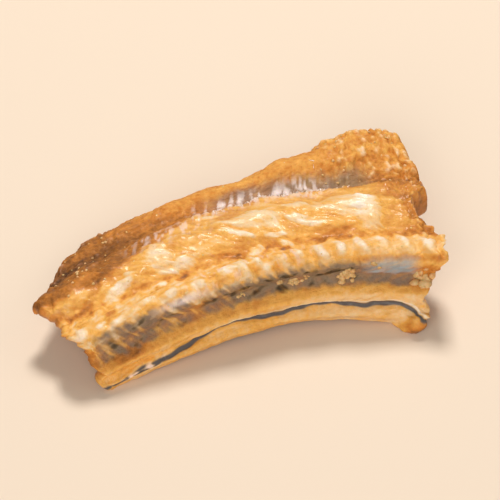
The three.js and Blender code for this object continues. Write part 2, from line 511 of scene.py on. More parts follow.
@dataclass
class MeshPiece:
    """One mesh of the visual model, with its maps and its place on the frame."""

    name: str
    vertices: Array
    faces: list[list[int]]
    masks: dict[str, Array] = field(default_factory=dict)
    plan: Array | None = None

    def build(self, material: bpy.types.Material) -> bpy.types.Object:
        """Makes the mesh in metres, with a smooth surface, its masks and its UV map.

        Args:
            material: the finish that the piece wears.

        Returns:
            The new object, riding on the one body.
        """
        mesh = bpy.data.meshes.new(self.name)
        mesh.from_pydata((self.vertices * MM).tolist(), [], self.faces)
        mesh.polygons.foreach_set("use_smooth", np.ones(len(self.faces), dtype=bool))
        for mask, values in self.masks.items():
            layer = mesh.attributes.new(mask, "FLOAT", "POINT")
            layer.data.foreach_set("value", np.ascontiguousarray(values, dtype=np.float32))
        if self.plan is not None:
            corner = np.empty(len(mesh.loops), dtype=np.int32)
            mesh.loops.foreach_get("vertex_index", corner)
            layer = mesh.uv_layers.new(name="flesh_plan")
            layer.data.foreach_set("uv", self.plan[corner].astype(np.float32).ravel())
        mesh.materials.append(material)
        mesh.validate()
        piece = bpy.data.objects.new(self.name, mesh)
        bpy.context.scene.collection.objects.link(piece)
        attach(piece, "root")
        LOG.info("%s: %d vertices, %d faces", self.name, len(mesh.vertices), len(self.faces))
        return piece


def linear(red: int, green: int, blue: int) -> tuple[float, float, float, float]:
    """An sRGB colour of 0 to 255 as the linear colour that the shader takes."""
    parts = [c / 255 for c in (red, green, blue)]
    return (*(c / 12.92 if c <= 0.04045 else ((c + 0.055) / 1.055) ** 2.4 for c in parts), 1.0)


@dataclass
class NodeBench:
    """A small helper that adds and links the nodes of one material."""

    material: bpy.types.Material

    @classmethod
    def fresh(cls, name: str) -> "NodeBench":
        """A bench on a new material without nodes."""
        material = bpy.data.materials.new(name)
        material.use_nodes = True
        material.node_tree.nodes.clear()
        return cls(material)

    def node(self, kind: str, inputs: dict, **settings: object) -> bpy.types.Node:
        """Adds a node, sets its properties and fills its inputs.

        Args:
            kind: the node's type.
            inputs: a socket or a plain value for each input, by its name or number.
            settings: the node's properties by name.

        Returns:
            The new node.
        """
        node = self.material.node_tree.nodes.new(kind)
        for key, value in settings.items():
            setattr(node, key, value)
        for key, value in inputs.items():
            if isinstance(value, bpy.types.NodeSocket):
                self.material.node_tree.links.new(value, node.inputs[key])
            else:
                node.inputs[key].default_value = value
        return node

    def mask(self, name: str) -> bpy.types.NodeSocket:
        """The value of one of the mesh's own masks."""
        return self.node("ShaderNodeAttribute", {}, attribute_name=name).outputs["Fac"]

    def times(self, first: object, second: object) -> bpy.types.NodeSocket:
        """The product of two sockets or numbers."""
        return self.node("ShaderNodeMath", {0: first, 1: second}, operation="MULTIPLY").outputs[0]

    def plus(self, first: object, second: object) -> bpy.types.NodeSocket:
        """The sum of two sockets or numbers."""
        return self.node("ShaderNodeMath", {0: first, 1: second}, operation="ADD").outputs[0]

    def noise(self, scale: float, detail: float) -> bpy.types.NodeSocket:
        """Noise in object space, with its cells in a metre and its finer layers."""
        where = self.node("ShaderNodeTexCoord", {}).outputs["Object"]
        inputs = {"Vector": where, "Scale": scale, "Detail": detail}
        return self.node("ShaderNodeTexNoise", inputs).outputs["Fac"]

    def cells(self, scale: float) -> bpy.types.NodeSocket:
        """The distance from the middle of round cells in object space, so many in a metre."""
        where = self.node("ShaderNodeTexCoord", {}).outputs["Object"]
        return self.node("ShaderNodeTexVoronoi", {"Vector": where, "Scale": scale}).outputs["Distance"]

    def plan_noise(self, along: float, across: float, detail: float) -> bpy.types.NodeSocket:
        """Noise that follows the strip's own plan, such as fibres that run along it.

        Args:
            along: cells in a millimetre along the strip.
            across: cells in a millimetre across it.
            detail: how many finer layers are added.

        Returns:
            The noise's value socket.
        """
        plan = self.node("ShaderNodeUVMap", {}, uv_map="flesh_plan").outputs["UV"]
        place = {"Vector": plan, "Scale": (along, across, 1.0)}
        cells = self.node("ShaderNodeMapping", place).outputs["Vector"]
        inputs = {"Vector": cells, "Scale": 1.0, "Detail": detail}
        return self.node("ShaderNodeTexNoise", inputs, noise_dimensions="2D").outputs["Fac"]

    def ramp(self, value: bpy.types.NodeSocket, stops: dict) -> bpy.types.NodeSocket:
        """A colour ramp over a value, with a colour for each place from 0 to 1."""
        node = self.node("ShaderNodeValToRGB", {"Fac": value})
        points = node.color_ramp.elements
        while len(points) < len(stops):
            points.new(0.5)
        for point, place in zip(points, stops):
            point.position, point.color = place, stops[place]
        return node.outputs["Color"]

    def mix(self, share: object, low: object, high: object) -> bpy.types.NodeSocket:
        """A mix of two colours, each a socket or a plain colour, by a share from low to high."""
        node = self.node("ShaderNodeMix", {0: share, 6: low, 7: high}, data_type="RGBA")
        return node.outputs[2]

    def finish(self, inputs: dict) -> bpy.types.Material:
        """Puts one shader with these inputs on the output, and returns the material."""
        shader = self.node("ShaderNodeBsdfPrincipled", inputs).outputs["BSDF"]
        self.node("ShaderNodeOutputMaterial", {"Surface": shader})
        return self.material


@dataclass(frozen=True)
class FriedFlesh:
    """Golden fried fish: pale where it blistered, brown where it fried longest, oily all over.

    The cells are counted in a metre, apart from the fibres' cells, which are counted in a
    millimetre along and across. A tone is what a grain adds to how brown the place is.
    The crust's cells are browned towards their crevices as painted shade.
    """

    pale: tuple = linear(250, 230, 208)
    cream: tuple = linear(242, 208, 160)
    gold: tuple = linear(240, 178, 86)
    amber: tuple = linear(208, 132, 52)
    brown: tuple = linear(146, 90, 36)
    umber: tuple = linear(88, 54, 28)
    skin_dark: tuple = linear(66, 52, 34)
    skin_olive: tuple = linear(142, 120, 94)
    skin_mauve: tuple = linear(138, 112, 96)
    skin_steel: tuple = linear(160, 170, 176)
    skin_line: tuple = linear(98, 92, 90)
    # The colour of white torn flesh, also used for painted highlights and glints.
    torn_white_and_glints: tuple = linear(252, 234, 228)
    fibre_cells: tuple[float, float] = (0.35, 2.6)
    pore_cells: float = 1900.0
    grit_cells: float = 5000.0
    mottle_cells: float = 420.0
    bubble_cells: float = 1050.0
    fibre_tone: float = 0.12
    pore_tone: float = 0.34
    mottle_tone: float = 0.24
    crevice_shade_tone: float = 0.16
    calm: float = 0.6
    least_done: float = -0.25
    dry_roughness: float = 0.50
    wet_smoothing: float = -0.30
    pore_roughness: float = 0.30
    coat: float = 0.45
    coat_roughness: float = 0.2
    specular: float = 0.22
    subsurface: float = 0.12
    subsurface_radius: tuple[float, float, float] = (1.0, 0.45, 0.18)
    subsurface_reach: float = 1.4
    bubble_bump: float = -1.2
    fibre_bump: float = 0.4
    grit_bump: float = 0.4
    bump_strength: float = 0.9
    bump_depth: float = 0.24

    def make(self) -> bpy.types.Material:
        """Mixes the tones by the strip's masks, and roughens them with fibres and pores.

        Returns:
            The finished material.
        """
        bench = NodeBench.fresh("fried_flesh")
        fibres = bench.plan_noise(*self.fibre_cells, 3.0)
        pores = bench.noise(self.pore_cells, 3.0)
        grit = bench.noise(self.grit_cells, 2.0)
        mottle = bench.noise(self.mottle_cells, 2.0)
        bubbles = bench.times(bench.cells(self.bubble_cells), bench.mask("crisp"))
        wet = bench.mask("wet")
        dry = bench.plus(1.0, bench.times(wet, -self.calm))

        # Painted shade: the crust's cells get browner towards their sunken crevices.
        done = bench.plus(bench.mask("doneness_and_painted_light"), bench.times(bubbles, self.crevice_shade_tone))
        grains = ((fibres, self.fibre_tone), (pores, self.pore_tone), (mottle, self.mottle_tone))
        for grain, tone in grains:
            centred = bench.times(bench.plus(grain, -0.5), dry)
            done = bench.plus(done, bench.times(centred, tone))
        flesh = bench.ramp(
            bench.times(bench.plus(done, -self.least_done), 1.0 / (1.0 - self.least_done)),
            {
                0.0: self.pale,
                0.22: self.cream,
                0.44: self.gold,
                0.64: self.amber,
                0.84: self.brown,
                1.0: self.umber,
            },
        )
        shades = {0.0: self.skin_dark, 0.25: self.skin_olive, 0.5: self.skin_mauve, 1.0: self.skin_steel}
        body = bench.mix(bench.mask("skin"), flesh, bench.ramp(bench.mask("cool"), shades))
        # White torn flesh, and the painted highlights and glints that share its colour.
        body = bench.mix(bench.mask("torn"), body, self.torn_white_and_glints)
        body = bench.mix(bench.mask("line"), body, self.skin_line)

        rough = bench.plus(bench.times(wet, self.wet_smoothing), bench.times(pores, self.pore_roughness))
        relief = bench.plus(bench.times(pores, dry), bench.times(bubbles, self.bubble_bump))
        for grain, height in ((fibres, self.fibre_bump), (grit, self.grit_bump)):
            relief = bench.plus(relief, bench.times(grain, height))
        bump = {"Strength": self.bump_strength, "Distance": self.bump_depth * MM, "Height": relief}
        return bench.finish(
            {
                "Base Color": body,
                "Roughness": bench.plus(rough, self.dry_roughness),
                "Specular IOR Level": self.specular,
                "Coat Weight": bench.times(wet, self.coat),
                "Coat Roughness": self.coat_roughness,
                "Subsurface Weight": self.subsurface,
                "Subsurface Radius": self.subsurface_radius,
                "Subsurface Scale": self.subsurface_reach * MM,
                "Normal": bench.node("ShaderNodeBump", bump).outputs["Normal"],
            }
        )


@dataclass(frozen=True)
class PlainFinish:
    """A simple finish of two mottled tones, with its own gloss."""

    name: str
    low: tuple
    high: tuple
    roughness: float
    coat: float = 0.0
    subsurface: float = 0.0
    grain: float = 900.0
    coat_roughness: float = 0.1

    def make(self) -> bpy.types.Material:
        """Mixes the two tones by noise on one shader.

        Returns:
            The finished material.
        """
        bench = NodeBench.fresh(self.name)
        return bench.finish(
            {
                "Base Color": bench.mix(bench.noise(self.grain, 2.0), self.low, self.high),
                "Roughness": self.roughness,
                "Coat Weight": self.coat,
                "Coat Roughness": self.coat_roughness,
                "Subsurface Weight": self.subsurface,
                "Subsurface Scale": MM,
            }
        )


@dataclass(frozen=True)
class Girth:
    """Millimetres over the skin, from the back foot to each place across."""

    form: StripForm = StripForm()
    samples: int = 600

    def station(self, name: str) -> Array:
        """The length of skin up to each sample of one station's section, in millimetres."""
        fine = np.linspace(0, Band.FRONT_FOOT, self.samples)
        steps = np.hypot(*(np.diff(self.form.station(name, axis, fine)) for axis in (0, 1)))
        return np.concatenate([[0.0], np.cumsum(steps)])

    def across_at(self, x: Array, across: Array) -> Array:
        """The girth up to a place, bent between the stations as the section is.

        Args:
            x: the place along, in millimetres.
            across: the place across, in rails.

        Returns:
            The girth in millimetres.
        """
        fine = np.linspace(0, Band.FRONT_FOOT, self.samples)
        ends = [np.interp(across, fine, self.station(name)) for name in STATIONS]
        return self.form.bent(x, *ends)


GIRTH = Girth()


@dataclass(frozen=True)
class Place:
    """Where the points of a grid lie on the strip, in the terms that patterns follow."""

    x: Array
    across: Array
    girth: Array
    share: Array
    turns: Array
    opened: Array

    def beat(self) -> Array:
        """The place within a crimp: 0 at its crest and 1 in the valleys beside it."""
        return np.abs(2.0 * (self.turns - np.floor(self.turns)) - 1.0)

    def draw(self, seed: int) -> Array:
        """A fixed random number of 0 to 1 for each crimp."""
        draws = np.random.default_rng(seed).uniform(0.0, 1.0, 64)
        return draws[np.floor(self.turns).astype(int) % 64]

    def total(self, dabs: dict[str, Dab]) -> Array:
        """The sum of some dabs at each place."""
        return sum(dab.at(self.x, self.across) for dab in dabs.values())


@dataclass(frozen=True)
class Pattern:
    """Noise laid over the skin, whose cells have a length and a width in millimetres.

    It leans by so many millimetres along for each one over the skin.
    """

    seed: int
    length: float
    width: float
    layers: int = 3
    lean: float = 0.0

    def cells(self, at: Place) -> tuple[Array, Array]:
        """The place along and over the skin, counted in the pattern's cells."""
        return (at.x + self.lean * at.girth) / self.length, at.girth / self.width

    def over(self, at: Place) -> Array:
        """The layered noise at each place, of about -1 to 1."""
        return Grain(self.seed).layered(*self.cells(at), self.layers)

    def domes(self, at: Place) -> Array:
        """Round bubbles instead of layers, from 0 to 1."""
        return Grain(self.seed).domes(*self.cells(at))


@dataclass(frozen=True)
class MusclePattern(Pattern):
    """Noise that follows the muscle layers, which sway and cross the crown aslant."""

    sway_seed: int = 3
    sway: float = 0.9
    sway_length: float = 8.0
    sway_width: float = 5.0
    turn: float = 40.0

    def cells(self, at: Place) -> tuple[Array, Array]:
        """The place along and across the muscle layers, counted in the pattern's cells."""
        sway = Grain(self.sway_seed).smooth(at.x / self.sway_length, at.girth / self.sway_width)
        turn = math.radians(self.turn)
        along = at.x * math.cos(turn) + at.girth * math.sin(turn)
        over = at.girth * math.cos(turn) - at.x * math.sin(turn)
        return along / self.length, (over + self.sway * sway) / self.width


@dataclass(frozen=True)
class Patch:
    """One oval place that puffed, coloured on its own, or carries a painted highlight.

    The length, width and height are millimetres, the lean is in degrees from the strip's
    length towards the front, and the tone is added to how brown the place fried.
    """

    x: float
    across: float
    length: float
    width: float
    lean: float
    height: float
    tone: float
    edge: MusclePattern = MusclePattern(29, 3.0, 0.7, 2)
    fray: float = 0.9

    def cover(self, at: Place) -> Array:
        """How far a point lies inside: 1 in the middle and 0 at the frayed edge.

        Args:
            at: where the points lie.

        Returns:
            The share 1 - d^2 of the oval, with noise on its edge.
        """
        away_x = at.x - self.x
        away_g = at.girth - GIRTH.across_at(self.x, self.across)
        lean = math.radians(self.lean)
        long = away_x * math.cos(lean) + away_g * math.sin(lean)
        wide = away_g * math.cos(lean) - away_x * math.sin(lean)
        reach = (long * 2 / self.length) ** 2 + (wide * 2 / self.width) ** 2
        return np.clip(1.1 - reach * (1.0 + self.fray * self.edge.over(at)), 0.0, 1.0)


# Pale puffed blisters on the crown: their cream is partly their own colour and partly a painted
# highlight of the glaze.
CREAM_PATCHES = (
    Patch(12.8, 5.95, 9.0, 4.4, 20, 0.40, -0.18),
    Patch(15.6, 6.70, 7.6, 4.2, -76, 0.38, -0.26),
    Patch(14.6, 6.25, 6.0, 4.6, 30, 0.10, -0.14),
    Patch(0.4, 6.15, 10.0, 4.2, 15, 0.40, -0.27),
    Patch(-2.4, 6.70, 5.8, 1.2, 48, 0.30, -0.46),
    Patch(2.2, 7.30, 3.0, 1.1, 10, 0.25, -0.40),
    Patch(6.7, 5.80, 4.0, 2.0, 12, 0.28, -0.26),
    Patch(6.0, 6.55, 3.8, 1.4, 20, 0.25, -0.34),
    Patch(7.4, 6.95, 3.4, 1.2, 25, 0.25, -0.34),
    # A painted glint on a small raised spot of the crown.
    Patch(-4.6, 5.15, 2.6, 1.1, 20, 0.20, -0.30),
    Patch(-13.7, 6.60, 6.2, 3.8, 85, 0.42, -0.25),
    Patch(-11.0, 7.45, 4.2, 2.8, 10, 0.36, -0.30),
    Patch(-20.4, 7.50, 5.6, 2.3, -17, 0.38, -0.42),
    Patch(-25.2, 6.70, 7.4, 4.4, -42, 0.40, -0.10),
)
GOLD_PATCHES = (
    Patch(9.0, 6.35, 6.5, 3.4, 25, 0.22, -0.06),
    Patch(-7.6, 6.60, 9.5, 4.4, 12, 0.28, -0.02),
    Patch(-16.6, 6.85, 6.0, 2.6, -8, 0.22, 0.0),
    Patch(10.6, 7.60, 9.0, 1.3, 3, -0.14, 0.12),
    Patch(-6.5, 7.60, 7.0, 1.0, 14, -0.12, 0.14),
    Patch(-24.3, 7.45, 6.2, 1.9, -39, -0.16, 0.16),
)
FIN_PATCHES = (
    Patch(3.3, 7.85, 1.8, 1.2, 40, 0.20, -0.40),
    Patch(-1.2, 7.95, 2.8, 1.4, -20, 0.24, -0.40),
    Patch(-6.2, 8.85, 2.6, 2.0, 0, 0.24, -0.40),
    Patch(-14.6, 8.05, 1.8, 1.4, 0, 0.20, -0.36),
    Patch(-10.5, 9.10, 2.2, 1.8, 0, 0.20, -0.34),
    Patch(-14.3, 8.95, 2.0, 1.6, 0, 0.20, -0.34),
    Patch(-20.0, 9.00, 9.0, 1.5, -5, 0.15, -0.20),
    Patch(-24.4, 8.95, 1.6, 1.2, 0, 0.20, -0.34),
    Patch(-27.4, 8.90, 2.6, 2.2, 0, 0.30, -0.34),
    Patch(11.3, 7.95, 2.0, 0.8, 0, -0.08, 0.18),
    Patch(7.9, 7.95, 2.2, 0.9, 10, -0.08, 0.18),
    Patch(3.0, 8.25, 2.4, 1.2, 30, -0.10, 0.30),
    Patch(-4.2, 7.95, 2.2, 1.0, 0, -0.08, 0.28),
    Patch(-11.9, 8.15, 2.6, 1.2, 0, -0.10, 0.32),
    Patch(-15.9, 8.30, 1.8, 1.2, 0, -0.10, 0.30),
    Patch(-22.6, 8.60, 3.0, 1.4, 0, -0.06, 0.20),
)
DRIP = Patch(17.4, 14.5, 5.4, 3.6, 0, 0.85, 0.26)
CRISP_PLACES = {
    "back_lump": Dab(1.0, Rise(11.0, 18.0), Plateau(0.8, 4.5, 1.2)),
    "left_of_back": Dab(0.45, Fall(-21.0, -6.0), Plateau(0.8, 4.8, 1.2)),
    "right_of_crown": Dab(0.7, Rise(18.0, 21.0), Plateau(4.0, 8.4, 1.2)),
    "left_cut": Dab(0.35, Hump(-28.0, 4.0)),
    "right_cut": Dab(0.35, Rise(19.5, 22.5)),
}


@dataclass(frozen=True)
class FineRelief:
    """The small forms of fried skin, on top of the solid's own relief.

    Heights and depths are millimetres, and a curve across the strip counts the rails.
    """

    patches: tuple[Patch, ...] = (*CREAM_PATCHES, *GOLD_PATCHES, *FIN_PATCHES, DRIP)
    line_places: tuple[float, ...] = (
        -26.0, -23.2, -20.5, -16.6, -13.3, -10.8, -7.9, -5.8, -3.5,
        0.0, 5.0, 8.0, 11.2, 14.4, 17.0, 18.2, 19.2,
    )
    line_rails: tuple[float, ...] = (
        14.1, 14.2, 13.8, 13.65, 13.3, 13.0, 12.65, 12.7, 13.05,
        13.25, 12.85, 12.95, 13.25, 13.0, 13.0, 13.5, 14.3,
    )
    crown: Plateau = Plateau(4.8, 7.8, 0.8)
    crown_drop: float = 0.22
    layers: MusclePattern = MusclePattern(7, 6.0, 1.5)
    layer_height: float = 0.24
    fibres_aslant: MusclePattern = MusclePattern(11, 3.5, 0.8, 2)
    fibres_along: Pattern = Pattern(12, 4.0, 0.9, 2)
    fibre_height: float = 0.08
    lumps: Pattern = Pattern(13, 2.4, 2.4)
    lump_height: float = 0.14
    grit: Pattern = Pattern(14, 1.1, 1.1, 2)
    grit_height: float = 0.09
    bubbles: Pattern = Pattern(17, 1.4, 1.4)
    small_bubbles: Pattern = Pattern(19, 0.75, 0.75)
    crust_grain: Pattern = Pattern(18, 1.1, 1.1, 2)
    bubble_height: float = 0.42
    bubbly_flank: Dab = Dab(0.75, Curve(), Fall(1.2, 2.4))
    flank_grain: Pattern = Pattern(31, 5.0, 4.0, 2)
    knob_height: float = 0.26
    hairs: Pattern = Pattern(49, 0.9, 3.5, 2, -0.7)
    hair_rails: Plateau = Plateau(9.4, 11.2, 0.8)
    hair_height: float = 0.12
    fin_grain: Pattern = Pattern(21, 0.9, 1.4, 2)
    fin_rails: Plateau = Plateau(7.7, 10.4, 0.8)
    fin_grain_height: float = 0.16
    torn: Pattern = Pattern(51, 0.7, 2.6, 2, 0.4)
    torn_rails: Plateau = Plateau(3.7, 4.9, 0.9)
    torn_rise: float = 0.24
    groove: Hump = Hump(4.0, 0.8)
    groove_depth: float = 0.25
    groove_middle: float = 4.5
    groove_fade: Fall = Fall(9.0, 15.0)
    pits: Hump = Hump(8.05, 0.5)
    pit_depth: float = 0.20
    line_depth: float = 0.26
    line_half: float = 0.22
    line_bank: Hump = Hump(-0.40, 0.32)
    bank_height: float = 0.12
    fray: Pattern = Pattern(33, 9.0, 1.6)
    fray_length: float = 1.0
    fray_share: float = 0.04
    wrinkles: Pattern = Pattern(23, 7.0, 1.3)
    wrinkle_height: float = 0.18
    pores: Pattern = Pattern(24, 1.6, 1.2)
    pore_height: float = 0.10
    ribs: Plateau = Plateau(3.5, 10.5, 2.0)
    rib_height: float = 0.05
    seam_depth: float = 0.22
    seam_half: float = 0.45

    def crisp(self, at: Place) -> Array:
        """Where the crust bubbled: the lump, both ends and parts of the back flank."""
        flank = self.bubbly_flank.at(at.x, at.across) * step_up(self.flank_grain.over(at), -0.5, 0.4)
        return np.clip(flank + at.total(CRISP_PLACES), 0.0, 1.0)

    def from_line(self, at: Place) -> Array:
        """Rails past the dark line, whose course through a few knots is evened a little."""
        knots = (self.line_places, self.line_rails)
        nearby = [np.interp(at.x + shift, *knots) for shift in (-0.8, 0.0, 0.8)]
        return at.across - sum(nearby) / len(nearby) - 0.04 * np.sin(2.3 * at.x)

    def from_seam(self, at: Place) -> Array:
        """Rails past the seam that runs along the middle of the channel."""
        return at.across - 6.2 - 0.2 * np.sin(0.2 * at.x)

    def strip_top(self, x: Array) -> Array:
        """The dark skin's upper edge: under the lip, and higher towards the left end."""
        return blend(9.75, 9.95, step_up(x, -16.0, -4.0)) - 0.1 * step_up(x, 9.0, 13.0)

    def knobs(self, at: Place) -> Array:
        """A bead on the crest of each crimp, uneven from one to the next, faint at the left."""
        size, shift = at.draw(5), at.draw(6) - 0.5
        tall = blend(0.2 + 0.9 * size, 0.6 + 0.4 * size, step_up(at.x, 2.0, 9.0))
        middle = blend(9.15, 8.6, step_up(at.x, -2.0, 14.0)) + 0.3 * shift
        plain = blend(0.25, 1.0, step_up(at.x, -14.0, 4.0))
        return tall * plain * bell(at.beat(), 0.65) * bell(at.across - middle, 0.9)

    def flakes(self, at: Place) -> Array:
        """The muscle layers of the crown: two terraces with a sharp edge, from 0 to 1."""
        layers = self.layers.over(at)
        return 0.6 * step_up(layers, -0.12, 0.12) + 0.4 * step_up(layers, 0.30, 0.48)

    def frayed(self, at: Place) -> Array:
        """How far the crumbled edge of each cut end moves along, mostly inwards."""
        left, right = bell(at.share, self.fray_share), bell(1.0 - at.share, self.fray_share)
        return self.fray_length * (right - left) * (self.fray.over(at) - 0.5)

    def skin_side(self, at: Place) -> Array:
        """The fine relief of the skin side.

        Args:
            at: where the points lie.

        Returns:
            How far each point stands out, in millimetres.
        """
        crown = self.crown.at(at.across)
        raised = sum(patch.height * patch.cover(at) ** 1.5 for patch in self.patches)
        plain = 1.0 - 0.7 * step_up(raised, 0.1, 0.3)
        fibres = blend(self.fibres_along.over(at), self.fibres_aslant.over(at), crown)
        bubbles = 0.8 * self.bubbles.domes(at) + 0.6 * self.small_bubbles.domes(at) - 0.5
        bubbles = bubbles + 0.9 * self.crust_grain.over(at)
        span = self.groove_fade.at(np.abs(at.x - self.groove_middle))
        torn = (step_up(self.torn.over(at), -0.05, 0.3) - 0.4) * self.torn_rails.at(at.across)
        from_line = self.from_line(at)
        parts = (
            raised,
            self.layer_height * self.flakes(at) * plain * crown,
            -self.crown_drop * crown,
            self.fibre_height * fibres * plain,
            self.lump_height * self.lumps.over(at),
            self.grit_height * self.grit.over(at) * plain,
            self.bubble_height * self.crisp(at) * bubbles,
            self.knob_height * self.knobs(at),
            self.hair_height * self.hairs.over(at) * self.hair_rails.at(at.across),
            self.fin_grain_height * self.fin_grain.over(at) * self.fin_rails.at(at.across),
            -self.groove_depth * self.groove.at(at.across) * span,
            self.torn_rise * torn * span,
            -self.pit_depth * self.pits.at(at.across) * at.beat(),
            -self.line_depth * bell(from_line, 2.0 * self.line_half),
            self.bank_height * self.line_bank.at(from_line),
        )
        return sum(parts) * at.opened

    def channel_side(self, at: Place) -> Array:
        """The fine relief of the channel: long wrinkles, faint ribs, pores and a middle seam."""
        height = self.wrinkle_height * self.wrinkles.over(at) + self.pore_height * self.pores.domes(at)
        height = height + self.rib_height * np.sin(2 * np.pi * at.turns) * self.ribs.at(at.across)
        return (height - self.seam_depth * bell(self.from_seam(at), self.seam_half)) * at.opened


STAINS_AND_SHADE = {
    "left_of_back": Dab(0.22, Fall(-23.0, -7.0), Plateau(0.0, 4.9, 0.6)),
    "back_lump": Dab(-0.14, Rise(8.0, 18.0), Plateau(0.5, 4.3, 1.0)),
    # Painted shade in the back groove's left part.
    "painted_shade_left_of_groove": Dab(0.14, Fall(-6.0, 0.0), Hump(4.1, 0.8)),
    "middle_of_back": Dab(-0.04, Plateau(-6.0, 9.0, 4.0), Plateau(1.4, 3.2, 0.8)),
    "right_of_fold_and_hem": Dab(-0.09, Rise(0.0, 8.0), Rise(11.4, 11.8)),
    "right_of_fin_lip": Dab(0.26, Rise(8.0, 13.0), Hump(9.75, 0.35)),
    "right_end_of_crown": Dab(0.07, Rise(17.5, 20.0), Plateau(4.5, 8.2, 1.0)),
    "upper_edge_of_fold": Dab(0.18, Curve(), Plateau(11.2, 11.95, 0.5)),
    "right_end_of_fold": Dab(0.10, Rise(17.5, 20.0), Plateau(11.0, 12.0, 0.6)),
    # Painted shade in the hollow at the fold's left end.
    "painted_shade_left_end_of_fold": Dab(0.34, Hump(-21.0, 3.5), Hump(11.6, 0.7)),
    "right_end_of_groove": Dab(0.14, Rise(17.5, 20.0), Hump(4.4, 0.9)),
    "drip": Dab(0.30, Hump(18.4, 2.6), Rise(13.7, 14.4)),
}


@dataclass(frozen=True)
class Tones:
    """The masks that tell the finish how each place fried, where the dark skin shows, and where
    highlights and shade are painted.

    `height` is the fine relief of the skin side. Doneness runs from 0 as cream to 1 as
    umber, and a tone is what is added to it.
    """

    relief: FineRelief
    at: Place
    height: Array
    cloud: Pattern = Pattern(41, 6.0, 3.0)
    speck: Pattern = Pattern(43, 1.3, 1.0)
    streak: MusclePattern = MusclePattern(45, 4.0, 0.8)
    border: Pattern = Pattern(47, 1.4, 1.4)
    line_gaps: Pattern = Pattern(53, 1.4, 0.8, 2)
    blot: Pattern = Pattern(55, 1.7, 1.2, 2)
    pocket: Pattern = Pattern(57, 2.2, 1.5, 2)
    glaze: Pattern = Pattern(59, 5.0, 2.0)
    haze: Pattern = Pattern(61, 2.2, 0.7, 2)
    strokes: Pattern = Pattern(63, 0.7, 2.6, 2)
    fibre_gaps: Pattern = Pattern(65, 1.6, 1.0, 2)
    glaze_border: Pattern = Pattern(67, 2.6, 1.8)
    crown_front: Fall = Fall(7.5, 8.0)
    crown_back: Rise = Rise(4.6, 5.2)
    fin: Plateau = Plateau(8.0, 10.3, 0.4)
    fold: Plateau = Plateau(11.3, 12.9, 0.4)
    hem: Rise = Rise(12.8, 13.2)
    back_tone: float = 0.50
    crown_tone: float = 0.33
    crusted_tone: float = 0.22
    fin_tone: float = 0.275
    right_fin_tone: float = 0.215
    fold_tone: float = 0.23
    hem_tone: float = 0.265

    @cached_property
    def ragged(self) -> Array:
        """The place across, with the bands' uneven borders."""
        return self.at.across + 0.2 * self.border.over(self.at)

    @cached_property
    def crown(self) -> Array:
        """The glossy part of the crown, whose back border moves forward to the left end."""
        border = blend(6.8, 4.7, step_up(self.at.x, -26.0, -4.0))
        past = self.ragged - border - 0.35 * self.glaze_border.over(self.at)
        return step_up(past, -0.35, 0.35) * self.crown_front.at(self.ragged)

    @cached_property
    def crisp(self) -> Array:
        """Where the crust bubbled."""
        return self.relief.crisp(self.at)

    @cached_property
    def gaps(self) -> Array:
        """The gaps that break the dark line near its left end."""
        stretch = Plateau(-24.6, -16.5, 1.2).at(self.at.x)
        return stretch * step_up(self.line_gaps.over(self.at), -0.1, 0.35)

    def line(self) -> Array:
        """The dark line over the hem, widest at its left end."""
        x = self.at.x
        width = 1.7 - 0.45 * step_up(x, -19.0, -16.0) - 0.25 * step_up(x, -8.0, -3.0)
        width = (width + 0.5 * (1.0 - step_up(x, -26.0, -24.0))) * self.relief.line_half
        from_line = np.abs(self.relief.from_line(self.at))
        return (1.0 - step_up(from_line, width * 0.5, width)) * (1.0 - self.gaps)

    def bands(self) -> Array:
        """How brown each band of the fish fried, without its mottling, with painted shade in the
        groove's left part and in the hollow at the fold's left end.
        """
        crusted = self.crown_back.at(self.ragged) * self.crown_front.at(self.ragged) - self.crown
        fin, fold, hem = (band.at(self.ragged) for band in (self.fin, self.fold, self.hem))
        back = 1.0 - self.crown - fin - fold - hem
        right_fin = step_up(self.at.x, 4.0, 12.0)
        parts = (
            self.back_tone * back,
            self.crown_tone * self.crown,
            self.crusted_tone * np.maximum(crusted, 0.0),
            blend(self.fin_tone, self.right_fin_tone, right_fin) * fin,
            self.fold_tone * fold,
            self.hem_tone * hem,
        )
        return sum(parts) + self.at.total(STAINS_AND_SHADE)

    def recess_skin(self) -> tuple[Array, Array]:
        """The dark skin in the recess: the lip's fibres hang over it, and its right end is steel, with
        painted shade along the steel's lower edge.

        Returns:
            How strongly it shows, and its shade.
        """
        x, ragged, pocket = self.at.x, self.ragged, self.pocket.over(self.at)
        hairs = step_up(self.relief.hairs.over(self.at), -0.3, 0.7)
        left = 1.0 - step_up(x, -10.0, -3.0)
        steel = step_up(x, 10.5, 14.0)
        plain = 1.0 - steel
        top = ragged + 0.2 - 0.35 * hairs * plain
        strip = step_up(top - self.relief.strip_top(x), -0.25, 0.25 + 0.35 * steel)
        strip = strip * (1.0 - step_up(ragged, 11.3, 11.6))
        strip = strip * step_up(x, -27.0, -24.5) * (1.0 - step_up(x, 17.6, 19.8))
        strip = strip * (1.0 - 0.7 * bell(x + 11.0, 1.6))
        strip = strip * (1.0 - blend(0.15, 0.85, left) * plain * hairs)
        strip = strip * (1.0 - 0.45 * steel * step_up(self.haze.over(self.at), -0.3, 0.6))
        strip = strip * (1.0 - 0.3 * plain * step_up(pocket, 0.1, 0.5))
        shade = blend(blend(0.30, 0.40, left), 1.0, steel * (1.0 - step_up(ragged, 10.7, 11.0)))
        shade = shade + (0.20 * pocket - 0.22 * step_up(-pocket, 0.05, 0.45)) * plain
        # Painted shade: the steel skin turns olive-mauve along its lower edge.
        return strip, blend(shade, 0.40, steel * step_up(ragged, 10.9, 11.15))

